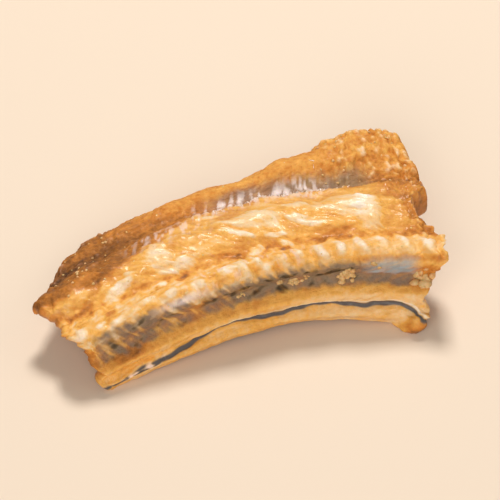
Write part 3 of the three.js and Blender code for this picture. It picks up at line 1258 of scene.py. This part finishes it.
    def groove_skin(self) -> tuple[Array, Array]:
        """The dark skin in the back groove, browner towards the lump.

        Returns:
            How strongly it shows, and its shade.
        """
        lump = step_up(self.at.x, 4.0, 12.0)
        span = step_up(self.at.x, -7.0, 2.0) * (1.0 - step_up(self.at.x, 17.0, 21.0))
        groove = Plateau(blend(3.35, 3.65, lump), 4.6, 0.6).at(self.ragged)
        cloudy = blend(blend(0.5, 0.9, lump), 1.0, step_up(self.cloud.over(self.at), -0.4, 0.3))
        return 0.85 * groove * span * cloudy, blend(0.56, 0.28, lump) + 0.25 * self.pocket.over(self.at)

    def dark_skin(self) -> tuple[Array, Array]:
        """Where the fish's own skin shows: in the back groove and in the recess.

        Returns:
            How strongly it shows, and its shade: 0 dark, 0.25 olive, 0.5 mauve, 1 steel grey.
        """
        strip, strip_shade = self.recess_skin()
        groove, groove_shade = self.groove_skin()
        shade = np.where(self.at.across < Band.CROWN_CREST, groove_shade, strip_shade)
        return np.clip(np.maximum(groove, strip), 0.0, 1.0), np.clip(shade, 0.0, 1.0)

    def doneness_and_painted_light(self) -> Array:
        """How brown each place fried: the bands with patches, streaks, specks and crust, with painted
        highlights and painted shade mixed in.
        """
        at, relief, ragged, crisp = self.at, self.relief, self.ragged, self.crisp
        speck, streak, blot = self.speck.over(at), self.streak.over(at), self.blot.over(at)
        patches = sum(p.tone * step_up(p.cover(at), 0.0, 0.75) for p in relief.patches)
        crimp_valley_shade = Plateau(8.3, 10.2, 0.5).at(ragged) * step_up(at.beat(), 0.5, 1.0)
        mixed = Plateau(7.9, 10.2, 0.5).at(ragged) * (1.0 - 0.75 * step_up(at.x, -2.0, 8.0))
        fingers = step_up(relief.hairs.over(at), 0.0, 0.35) * Plateau(9.8, 11.3, 0.6).at(at.across)
        parts = (
            self.bands(),
            0.12 * self.cloud.over(at),
            0.12 * speck * (1.0 + 0.4 * crisp),
            0.16 * step_up(speck, 0.0, 0.35) * bell(ragged - 8.0, 0.5),
            patches * (1.0 - 0.6 * streak),
            0.12 * self.crown * (1.0 - crisp) * (0.45 - relief.flakes(at)),
            0.11 * self.crown * streak,
            # Painted highlight on each crimp's crest, and painted shade in the valleys between crimps.
            -0.40 * step_up(relief.knobs(at), 0.0, 0.85) * (1.0 - 0.4 * speck),
            0.10 * crimp_valley_shade * Plateau(-6.0, 10.0, 12.0).at(at.x),
            -0.20 * mixed * step_up(blot, 0.0, 0.50),
            0.10 * mixed * step_up(-blot, 0.05, 0.50),
            # A painted highlight: a cream rim just above the dark line.
            -0.50 * bell(relief.from_line(at) + 0.34, 0.22) * step_up(at.x, -14.0, -2.0),
            -0.25 * fingers * (1.0 - step_up(at.x, -8.0, 0.0)),
            # Painted highlight on the crust's bubble tops and painted shade in its pits.
            -0.22 * crisp * step_up(self.height, 0.0, 0.35),
            0.05 * crisp * step_up(-self.height, 0.02, 0.2),
            0.14 * (1.0 - at.opened),
        )
        return np.clip(sum(parts), -0.4, 1.0)

    def torn_white_and_glints(self) -> Array:
        """Where white torn flesh shows: along the groove, on the fin and in the line's gaps, with a
        painted highlight along the fin lip and painted glints on the crust's bubble tops.
        """
        at = self.at
        fibres = step_up(self.relief.torn.over(at) + 0.14 * step_up(at.x, 2.0, 7.0), -0.06, 0.2)
        fibres = fibres * step_up(self.fibre_gaps.over(at), -0.6, 0.05)
        fibres = fibres * (0.95 + 0.3 * self.speck.over(at))
        groove = Dab(1.0, Plateau(-5.0, 12.0, 6.0), Plateau(3.75, 5.0, 0.9))
        crown_edge = Dab(0.5, Plateau(-16.0, -6.0, 6.0), Hump(5.3, 1.2))
        fin = Dab(0.45, Plateau(-12.0, 6.0, 6.0), Hump(8.9, 1.1))
        # A painted highlight along the fin lip near the left end.
        lip = Dab(0.6, Hump(-13.2, 5.5), Hump(9.7, 0.35))
        parts = (
            fibres * (groove.at(at.x, self.ragged) + crown_edge.at(at.x, self.ragged)),
            step_up(self.strokes.over(at), 0.10, 0.40) * fin.at(at.x, self.ragged),
            lip.at(at.x, at.across),
            # Painted glints on the tops of the crust's bubbles.
            0.3 * self.crisp * step_up(self.height, 0.05, 0.35),
            0.75 * self.gaps * bell(self.relief.from_line(at), 0.45),
        )
        return np.clip(sum(parts), 0.0, 0.92)

    def skin_side(self) -> dict[str, Array]:
        """The masks of the skin side, by name."""
        skin, cool = self.dark_skin()
        wet = 0.05 + 0.55 * self.crown + 0.5 * step_up(self.ragged, 11.2, 11.8)
        wet = wet + 0.25 * self.cloud.over(self.at) + 0.6 * skin * step_up(cool, 0.6, 0.9)
        return {
            "doneness_and_painted_light": self.doneness_and_painted_light(),
            "skin": skin,
            # The torn mask also carries painted highlights and glints.
            "torn": self.torn_white_and_glints(),
            "cool": cool,
            "line": self.line(),
            "crisp": self.crisp,
            "wet": np.clip(wet + 0.25 * Plateau(8.2, 10.6, 0.6).at(self.ragged), 0.0, 1.0),
        }

    def channel_side(self) -> dict[str, Array]:
        """The masks of the channel side: an even amber glaze, darker in its wrinkles."""
        at, relief = self.at, self.relief
        done = 0.55 + 0.20 * self.glaze.over(at) - 0.16 * relief.wrinkles.over(at)
        done = done + 0.14 * bell(relief.from_seam(at), 0.5) + 0.12 * (1.0 - at.opened)
        masks = dict.fromkeys(("skin", "torn", "cool", "line", "crisp"), np.zeros_like(at.x))
        return masks | {"doneness_and_painted_light": np.clip(done, 0.0, 1.0), "wet": np.full_like(at.x, 0.8)}


def unit(vectors: Array) -> Array:
    """Vectors brought to length 1, with x, y and z on the last axis."""
    return vectors / np.maximum(np.linalg.norm(vectors, axis=-1, keepdims=True), 1e-9)


def outward(points: Array) -> Array:
    """Unit normals of a grid of points: the cross product of its slopes across and along."""
    return unit(np.cross(np.gradient(points, axis=1), np.gradient(points, axis=0)))


@dataclass
class EelStrip:
    """The whole strip as one closed fine mesh, with its relief and its masks.

    The channel side has half as many rows and columns as the skin side. A face of it at
    the rim takes in the extra point of the shared rim, so the mesh has no gap.
    """

    form: StripForm = StripForm()
    relief: FineRelief = FineRelief()
    rows: int = 280
    columns: int = 256
    rim_rows: int = 6
    crowded: Dab = Dab(1.0, across=Plateau(12.2, 14.4, 0.6))
    sparse: Dab = Dab(-0.5, across=Plateau(-1.0, 1.5, 1.0))
    wobble: float = 0.15
    wobble_seed: int = 5
    wobble_cell: tuple[float, float] = (2.4, 0.9)
    skin: Array | None = None
    normals: Array | None = None
    across: Array | None = None

    def spread(self) -> Array:
        """Column places in even steps over the skin, but twice as close round the line."""
        fine = np.linspace(0.0, 1.0, GIRTH.samples)
        rails = fine * Band.FRONT_FOOT
        length = sum(GIRTH.station(name) for name in STATIONS)
        crowd = 1.0 + self.crowded.at(rails, rails) + self.sparse.at(rails, rails)
        total = np.concatenate([[0.0], np.cumsum(np.diff(length) * crowd[1:])])
        return np.interp(np.linspace(0.0, total[-1], self.columns + 1), total, fine)

    def place(self, grid: Grid) -> Place:
        """Works out where the grid's points lie on the strip.

        Args:
            grid: the steps along and across.

        Returns:
            The grid's places.
        """
        x = self.form.along(grid.share, grid.across)
        long, wide = self.wobble_cell
        wobble = self.wobble * Grain(self.wobble_seed).smooth(x / long, grid.across / wide)
        turns = self.form.crimp_turns(grid.share, grid.across) + wobble
        girth = GIRTH.across_at(x, grid.across)
        return Place(x, grid.across, girth, grid.share, turns, grid.opened)

    def faces(self, high: int, wide: int) -> list[list[int]]:
        """The faces of both sides, as corner indices.

        Args:
            high: points along the skin grid, an odd number.
            wide: points across the skin grid, an odd number.

        Returns:
            The faces: four corners, and one more for each rim that a channel face touches.
        """
        skin = np.arange(high * wide).reshape(high, wide)
        channel = skin[::2, ::2].copy()
        inner = channel[1:-1, 1:-1]
        inner[:] = high * wide + np.arange(inner.size).reshape(inner.shape)
        cells = [skin[:-1, :-1], skin[:-1, 1:], skin[1:, 1:], skin[1:, :-1]]
        top = np.stack([c.ravel() for c in cells], axis=1)
        ring = np.full((*(n - 1 for n in channel.shape), 8), -1)
        ring[..., 0], ring[..., 2] = channel[:-1, :-1], channel[1:, :-1]
        ring[..., 4], ring[..., 6] = channel[1:, 1:], channel[:-1, 1:]
        ring[:, 0, 1], ring[-1, :, 3] = skin[1::2, 0], skin[-1, 1::2]
        ring[:, -1, 5], ring[0, :, 7] = skin[1::2, -1], skin[0, 1::2]
        return top.tolist() + [[c for c in row if c >= 0] for row in ring.reshape(-1, 8).tolist()]

    def build(self, material: bpy.types.Material) -> bpy.types.Object:
        """Works out both sides, sets them on the floor and makes the mesh.

        Args:
            material: the finish of the flesh.

        Returns:
            The strip, which stands for the plain solid.
        """
        grid = Grid.rimmed(np.linspace(0.0, 1.0, self.rows + 1), self.spread(), self.rim_rows)
        shell, at, move = self.form.shell(grid), self.place(grid), self.form.offset()

        height = self.relief.skin_side(at)
        below = self.relief.channel_side(at)
        skin = shell[Side.SKIN] + outward(shell[Side.SKIN]) * height[..., None] + move
        channel = shell[Side.CHANNEL] - outward(shell[Side.CHANNEL]) * below[..., None] + move
        for side in (skin, channel):
            side[..., 0] += self.relief.frayed(at)
            side[..., 2] = np.maximum(side[..., 2], 0.0)
        self.skin, self.normals, self.across = skin, outward(skin), grid.across[0]

        tones = Tones(self.relief, at, height)
        upper, lower = tones.skin_side(), tones.channel_side()
        inner = (slice(2, -2, 2), slice(2, -2, 2))
        plan = np.stack([at.x, at.girth], axis=-1)
        piece = MeshPiece(
            name="eel_flesh",
            vertices=np.concatenate([skin.reshape(-1, 3), channel[inner].reshape(-1, 3)]),
            faces=self.faces(*skin.shape[:2]),
            masks={k: np.concatenate([v.ravel(), lower[k][inner].ravel()]) for k, v in upper.items()},
            plan=np.concatenate([plan.reshape(-1, 2), plan[inner].reshape(-1, 2)]),
        )
        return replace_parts(piece.build(material), "eel_strip")

    def on_skin(self, x: Array, across: Array) -> tuple[Array, Array]:
        """The points and normals of the finished skin nearest to some places.

        Args:
            x: places along, in the rails' own millimetres.
            across: places across, in rails.

        Returns:
            The points in millimetres, and the unit normals there.
        """
        move = self.form.offset()
        column = np.clip(np.searchsorted(self.across, across), 0, len(self.across) - 1)
        row = np.abs(self.skin[:, column, 0] - (x + move[0])).argmin(axis=0)
        return self.skin[row, column], self.normals[row, column]


@dataclass(frozen=True)
class Tuft:
    """A stretch of the groove that pale threads bridge, and what they are like there."""

    count: int
    x: float
    spread: float
    across: float
    reach: float
    lean: float
    lift: float


@dataclass(frozen=True)
class FinThreads:
    """Pale threads of torn skin along the back groove, as one joined mesh."""

    strip: EelStrip
    seed: int = 71
    rings: int = 5
    sides: int = 4
    radius: float = 0.12
    flatness: float = 0.5
    bow: float = 0.1
    stretch: tuple[float, float] = (-24.0, 20.0)
    stray_across: float = 0.12
    stray_lean: float = 0.3
    reaches: tuple[float, float] = (0.5, 1.25)
    lifts: tuple[float, float] = (0.2, 1.3)
    widths: tuple[float, float] = (0.5, 1.6)
    tufts: tuple[Tuft, ...] = (
        Tuft(6, 0.2, 0.8, 4.80, -0.40, 0.3, 0.30),
        Tuft(8, 2.2, 0.9, 4.80, -0.38, 0.6, 0.26),
        Tuft(5, 4.8, 1.0, 4.80, -0.34, 0.4, 0.20),
        Tuft(7, 7.2, 0.7, 4.78, -0.42, 0.5, 0.30),
        Tuft(5, 9.2, 0.7, 4.80, -0.36, 0.6, 0.24),
        Tuft(3, 11.6, 0.9, 4.80, -0.26, 0.5, 0.20),
        Tuft(2, 13.0, 0.4, 3.10, -0.12, -0.5, 0.16),
        Tuft(4, 14.6, 0.6, 4.80, -0.26, 0.5, 0.24),
        Tuft(5, -3.8, 1.6, 4.90, -0.26, 0.2, 0.16),
    )

    def routes(self) -> tuple[Array, Array, Array]:
        """Where the threads start and end, and how high they arch.

        Returns:
            Starts and ends as [x, across] rows, and lifts in millimetres.
        """
        rng = np.random.default_rng(self.seed)
        starts, ends, lifts = [], [], []
        for tuft in self.tufts:
            x = np.clip(rng.normal(tuft.x, tuft.spread, tuft.count), *self.stretch)
            stray = rng.normal(0.0, self.stray_across, tuft.count)
            start = np.column_stack([x, tuft.across + stray])
            reach = tuft.reach * rng.uniform(*self.reaches, tuft.count)
            lean = tuft.lean + rng.normal(0.0, self.stray_lean, tuft.count)
            starts.append(start)
            ends.append(start + np.column_stack([lean, reach]))
            lifts.append(tuft.lift * rng.uniform(*self.lifts, tuft.count))
        return np.concatenate(starts), np.concatenate(ends), np.concatenate(lifts)

    def build(self, material: bpy.types.Material) -> bpy.types.Object:
        """Carries a tapered ring along each thread, which leaves the skin as lift times s^0.8.

        Args:
            material: the threads' finish.

        Returns:
            The threads as one piece.
        """
        starts, ends, lift = self.routes()
        step = np.linspace(0.0, 1.0, self.rings)
        where = starts[:, None, :] + (ends - starts)[:, None, :] * step[None, :, None]
        bows = np.random.default_rng(self.seed + 1).normal(0.0, self.bow, (len(starts), 1))
        where[..., 0] += bows * np.sin(np.pi * step)
        points, normals = self.strip.on_skin(where[..., 0].ravel(), where[..., 1].ravel())
        shape = (len(starts), self.rings, 3)
        points, normals = points.reshape(shape), normals.reshape(shape)
        points = points + normals * (lift[:, None] * step**0.8)[..., None]
        aside = unit(np.cross(np.gradient(points, axis=1), normals))
        turn = (np.arange(self.sides) / self.sides * 2 * np.pi)[:, None]
        thick = self.radius * (1.0 - 0.8 * step**1.5)
        thick = thick[None, :] * blend(*self.widths, np.modf(starts[:, :1] * 7.3)[0] ** 2)
        ring = aside[:, :, None, :] * np.cos(turn)
        ring = ring + normals[:, :, None, :] * self.flatness * np.sin(turn)
        vertices = (points[:, :, None, :] + ring * thick[:, :, None, None]).reshape(-1, 3)
        index = np.arange(len(vertices)).reshape(len(starts), self.rings, self.sides)
        turned = np.roll(index, -1, axis=2)
        walls = [index[:, :-1], turned[:, :-1], turned[:, 1:], index[:, 1:]]
        quads = np.stack([w.reshape(-1) for w in walls], axis=1)
        faces = np.concatenate([quads, index[:, 0, ::-1], index[:, -1]]).tolist()
        return MeshPiece("fin_threads", vertices, faces).build(material)


@dataclass(frozen=True)
class Scatter:
    """Lumps strewn evenly over an area: how many, and the least and most of each measure."""

    count: int
    x: tuple[float, float]
    across: tuple[float, float]
    size: tuple[float, float]


@dataclass(frozen=True)
class Heap:
    """Lumps heaped round one place: its x and rail, how far they spread, and how many."""

    x: float
    across: float
    spread: float
    count: int


@dataclass(frozen=True)
class Crumbs:
    """Rough little lumps half sunk in the skin, as one joined mesh."""

    strip: EelStrip
    name: str
    place_seed: int
    seed: int
    scatters: tuple[Scatter, ...]
    heaps: tuple[Heap, ...] = ()
    heap_sizes: tuple[float, float] = (0.25, 0.5)
    heap_shape: tuple[float, float] = (1.0, 0.35)
    stretches: tuple[float, float] = (0.75, 1.25)
    roughness: float = 0.4
    sink: float = 0.35

    def spots(self) -> tuple[Array, Array]:
        """Draws where the lumps lie and how large they are.

        Returns:
            Rows of [x, across], and each lump's radius in millimetres.
        """
        rng = np.random.default_rng(self.place_seed)
        spots = [
            np.column_stack([rng.uniform(*s.x, s.count), rng.uniform(*s.across, s.count)])
            for s in self.scatters
        ]
        sizes = [rng.uniform(*s.size, s.count) for s in self.scatters]
        for heap in self.heaps:
            away = rng.normal(0.0, 0.5, (heap.count, 2)) * heap.spread * self.heap_shape
            spots.append(np.clip(away, -heap.spread, heap.spread) + [heap.x, heap.across])
            sizes.append(rng.uniform(*self.heap_sizes, heap.count) * heap.spread)
        return np.concatenate(spots), np.concatenate(sizes)

    def lump(self) -> tuple[Array, Array]:
        """An octahedron with each face split in four, pushed out to the unit ball.

        Returns:
            Its points and its triangles.
        """
        tips = np.array([[1, 0, 0], [0, 1, 0], [-1, 0, 0], [0, -1, 0], [0, 0, 1], [0, 0, -1]], float)
        mids, faces = [tips[i] + tips[(i + 1) % 4] for i in range(4)], []
        for pole, base in ((4, 10), (5, 14)):
            for i in range(4):
                mids.append(tips[i] + tips[pole])
                j = (i + 1) % 4
                side, near, far = 6 + i, base + i, base + j
                ring = [(i, side, near), (side, j, far), (near, far, pole), (side, far, near)]
                faces += ring if pole == 4 else [f[::-1] for f in ring]
        return unit(np.concatenate([tips, np.array(mids)])), np.array(faces)

    def build(self, material: bpy.types.Material) -> bpy.types.Object:
        """Sets a roughened ball at each spot, flattened a little against the skin.

        Args:
            material: the crumbs' finish.

        Returns:
            The crumbs as one piece.
        """
        rng = np.random.default_rng(self.seed)
        ball, faces = self.lump()
        spots, sizes = self.spots()
        points, normals = self.strip.on_skin(spots[:, 0], spots[:, 1])
        count = len(points)
        radius = 1.0 + self.roughness * rng.uniform(-1.0, 1.0, (count, len(ball)))
        shape = ball[None] * radius[..., None] * rng.uniform(*self.stretches, (count, 1, 3))
        flat = np.einsum("nvk,nk->nv", shape, normals)
        shape = shape - self.sink * flat[..., None] * normals[:, None, :]
        vertices = points[:, None, :] + shape * sizes[:, None, None]
        faces = faces[None] + (np.arange(count) * len(ball))[:, None, None]
        faces = faces.reshape(-1, 3).tolist()
        return MeshPiece(self.name, vertices.reshape(-1, 3), faces).build(material)


@dataclass(frozen=True)
class Lamp:
    """One soft square light that looks at the strip.

    It stands at an azimuth from the front and an elevation, in degrees, and its distance
    and side are metres.
    """

    name: str
    azimuth: float
    elevation: float
    away: float
    side: float
    power: float
    tone: tuple[float, float, float]


@dataclass(frozen=True)
class Studio:
    """The pale floor, the soft lights and the camera at the photograph's angle."""

    azimuth: float = -20.0
    elevation: float = 42.0
    distance: float = 0.62
    frame_width: float = 67.6
    aim: tuple[float, float, float] = (0.25, -0.3, 5.0)
    floor_tone: tuple = linear(232, 213, 192)
    floor_roughness: float = 0.7
    floor_half: float = 2.0
    sky: float = 0.22
    sky_tone: tuple = (1.0, 0.92, 0.82, 1.0)
    lamps: tuple[Lamp, ...] = (
        Lamp("key", 158.0, 58.0, 0.7, 0.17, 3.75, (1.0, 0.98, 0.95)),
        Lamp("fill", -30.0, 32.0, 0.9, 0.6, 4.6, (1.0, 0.98, 0.95)),
        Lamp("side", 60.0, 35.0, 0.8, 0.5, 0.5, (1.0, 0.97, 0.93)),
    )

    def stand(self, thing: bpy.types.Object, aim: Vector, azimuth: float, elevation: float,
              away: float) -> None:
        """Stands a light or the camera at a distance from its aim, looking at it.

        Args:
            thing: the light or the camera.
            aim: the point that it looks at, in metres.
            azimuth: where it stands, in degrees from the front.
            elevation: its height above the floor, in degrees.
            away: its distance, in metres.
        """
        a, e = math.radians(azimuth), math.radians(elevation)
        towards = Vector((math.sin(a) * math.cos(e), -math.cos(a) * math.cos(e), math.sin(e)))
        thing.location = aim + towards * away
        thing.rotation_euler = towards.to_track_quat("Z", "Y").to_euler()
        bpy.context.scene.collection.objects.link(thing)

    def floor(self) -> None:
        """A plain pale square at the height that the strip stands on."""
        half = self.floor_half
        mesh = bpy.data.meshes.new("floor")
        corners = [(-half, -half, 0.0), (half, -half, 0.0), (half, half, 0.0), (-half, half, 0.0)]
        mesh.from_pydata(corners, [], [(0, 1, 2, 3)])
        inputs = {"Base Color": self.floor_tone, "Roughness": self.floor_roughness}
        mesh.materials.append(NodeBench.fresh("pale_floor").finish(inputs))
        floor = bpy.data.objects.new("floor", mesh)
        bpy.context.scene.collection.objects.link(floor)

    def light(self, lamp: Lamp) -> None:
        """Adds one of the lights."""
        data = bpy.data.lights.new(lamp.name, "AREA")
        data.size, data.energy, data.color = lamp.side, lamp.power, lamp.tone
        light = bpy.data.objects.new(lamp.name, data)
        self.stand(light, Vector(), lamp.azimuth, lamp.elevation, lamp.away)

    def camera(self, move: Array) -> None:
        """A long lens that frames the strip as the photograph's own region does.

        Args:
            move: how far the strip was moved to stand over the origin, in millimetres.
        """
        data = bpy.data.cameras.new("camera")
        data.lens = data.sensor_width * self.distance / (self.frame_width * MM)
        data.clip_start, data.clip_end = 0.01, 10.0
        camera = bpy.data.objects.new("camera", data)
        aim = Vector((np.array(self.aim) + move) * MM)
        self.stand(camera, aim, self.azimuth, self.elevation, self.distance)
        bpy.context.scene.camera = camera

    def build(self, move: Array) -> None:
        """Sets up the floor, the lights, the camera and the plain colour rendering.

        Args:
            move: how far the strip was moved to stand over the origin, in millimetres.
        """
        self.floor()
        for lamp in self.lamps:
            self.light(lamp)
        self.camera(move)
        world = bpy.data.worlds.new("studio_air")
        world.use_nodes = True
        air = world.node_tree.nodes["Background"]
        air.inputs["Color"].default_value = self.sky_tone
        air.inputs["Strength"].default_value = self.sky
        bpy.context.scene.world = world
        bpy.context.scene.view_settings.view_transform = "Standard"


THREAD = PlainFinish("pale_thread", linear(255, 242, 230), linear(248, 212, 184), 0.45, 0.3)
CRUST = PlainFinish("golden_crust", linear(240, 196, 136), linear(206, 152, 90), 0.5, 0.2, 0.2)
OIL = PlainFinish("oil_bead", linear(252, 214, 150), linear(240, 190, 112), 0.12, 1.0, 0.2)
CRUST_ON_LUMP = Scatter(45, (13.0, 25.0), (1.6, 4.3), (0.12, 0.3))
CRUST_ON_LEFT_END = Scatter(28, (-28.0, -16.0), (2.5, 7.0), (0.1, 0.26))
CRUMB_HEAPS = (
    Heap(9.9, 10.85, 1.2, 22),
    Heap(13.4, 10.10, 0.8, 9),
    Heap(3.0, 11.05, 0.8, 12),
    Heap(0.9, 10.90, 0.6, 8),
    Heap(4.6, 10.70, 0.5, 6),
    Heap(-4.6, 11.05, 0.5, 6),
    Heap(19.8, 11.05, 1.3, 24),
)
OIL_ON_TOP = Scatter(90, (-28.0, 24.0), (2.0, 10.0), (0.07, 0.17))


def main() -> None:
    """Builds the strip, its threads, crumbs and oil, and the studio."""
    logging.basicConfig(level=logging.INFO, format="%(name)s: %(message)s")
    strip = EelStrip()
    strip.build(FriedFlesh().make())
    FinThreads(strip).build(THREAD.make())
    crust = (CRUST_ON_LUMP, CRUST_ON_LEFT_END)
    Crumbs(strip, "crust_crumbs", 81, 83, crust, CRUMB_HEAPS).build(CRUST.make())
    Crumbs(strip, "oil_beads", 85, 87, (OIL_ON_TOP,), roughness=0.05, sink=0.7).build(OIL.make())
    Studio().build(strip.form.offset())


if __name__ == "__main__":
    main()
